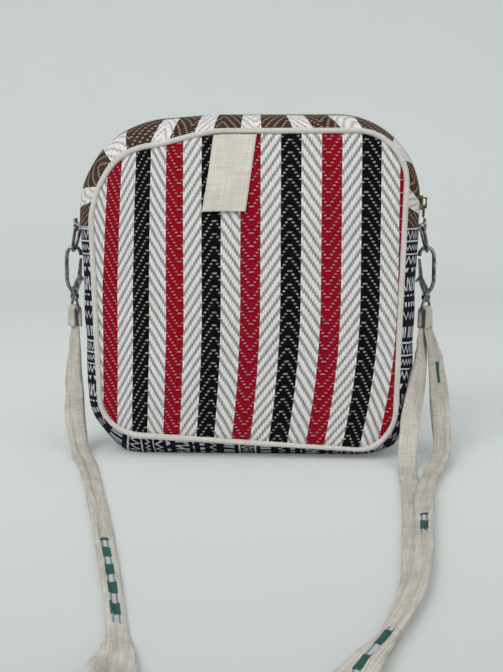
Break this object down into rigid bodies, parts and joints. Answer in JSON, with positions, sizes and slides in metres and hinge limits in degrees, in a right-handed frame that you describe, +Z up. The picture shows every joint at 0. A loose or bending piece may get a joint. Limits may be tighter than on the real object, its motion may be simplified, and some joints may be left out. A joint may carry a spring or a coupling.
{
  "type": "zip-top crossbody bag",
  "caption": "Small boxy cloth bag with striped herringbone panels, piped edges, a zip over the top, ring tabs, and a clip-on adjustable strap.",
  "frame": {"origin": "on the floor, under the middle of the bag's body", "axes": "+X to the bag's right as seen from the front, -Y out of the front panel, +Z up"},
  "size_m": [0.2628, 0.4924, 0.2227],
  "materials": {
    "striped_cloth": "thick herringbone twill in red, black and off-white stripes",
    "zip_cloth": "brown and off-white herringbone blocks",
    "dark_cloth": "black cloth with woven off-white bars and zigzags",
    "linen": "plain natural linen",
    "lining_cloth": "thin plain cotton",
    "zip_tape_cloth": "woven nylon tape and coil",
    "nickel": "polished nickel plate",
    "brass": "antique brass"
  },
  "bodies": {
    "root": {"front_panel": "striped_cloth", "back_panel": "striped_cloth", "piping_front": "linen", "piping_back": "linen", "lower_gusset": "dark_cloth", "zip_strip_front": "zip_cloth", "zip_strip_back": "zip_cloth", "zip_tape_front": "zip_tape_cloth", "zip_tape_back": "zip_tape_cloth", "zip_coil": "zip_tape_cloth", "lining": "lining_cloth", "label": "linen", "ring_tab_left": "linen", "ring_tab_right": "linen", "strap_long": "linen", "strap_inner": "linen", "strap_outer": "linen", "strap_glide": "nickel"},
    "ring_left": {"d_ring_left": "nickel", "hook_left": "nickel"},
    "gate_left": {"gate_left": "nickel"},
    "eye_left": {"eye_left": "nickel", "strap_end_left": "linen"},
    "ring_right": {"d_ring_right": "nickel", "hook_right": "nickel"},
    "gate_right": {"gate_right": "nickel"},
    "eye_right": {"eye_right": "nickel", "strap_turn_right": "linen"},
    "slider": {"zip_slider": "brass"},
    "pull": {"zip_pull": "brass"}
  },
  "joints": [
    {"name": "ring_swing_left", "type": "hinge", "parent": "root", "child": "ring_left", "pos_m": [-0.11413, 0, 0.14909], "axis": [0, 1, 0], "range_deg": [0, 110]},
    {"name": "gate_open_left", "type": "hinge", "parent": "ring_left", "child": "gate_left", "pos_m": [-0.11436, 0, 0.11384], "axis": [0, -1, 0], "range_deg": [0, 24], "stiffness_Nm_per_rad": 0.004, "springref_deg": -11.46},
    {"name": "eye_turn_left", "type": "hinge", "parent": "ring_left", "child": "eye_left", "pos_m": [-0.11746, 0, 0.10294], "axis": [0, 0, 1], "continuous": true},
    {"name": "ring_swing_right", "type": "hinge", "parent": "root", "child": "ring_right", "pos_m": [0.11413, 0, 0.14909], "axis": [0, -1, 0], "range_deg": [0, 110]},
    {"name": "gate_open_right", "type": "hinge", "parent": "ring_right", "child": "gate_right", "pos_m": [0.11436, 0, 0.11384], "axis": [0, 1, 0], "range_deg": [0, 24], "stiffness_Nm_per_rad": 0.004, "springref_deg": -11.46},
    {"name": "eye_turn_right", "type": "hinge", "parent": "ring_right", "child": "eye_right", "pos_m": [0.11746, 0, 0.10294], "axis": [0, 0, 1], "continuous": true},
    {"name": "zip_run", "type": "hinge", "parent": "root", "child": "slider", "pos_m": [0.05668, 0, 0.167], "axis": [0, -1, 0], "range_deg": [0, 90]},
    {"name": "pull_flip", "type": "hinge", "parent": "slider", "child": "pull", "pos_m": [0.1148, 0, 0.16354], "axis": [0, -1, 0], "range_deg": [0, 120]}
  ]
}
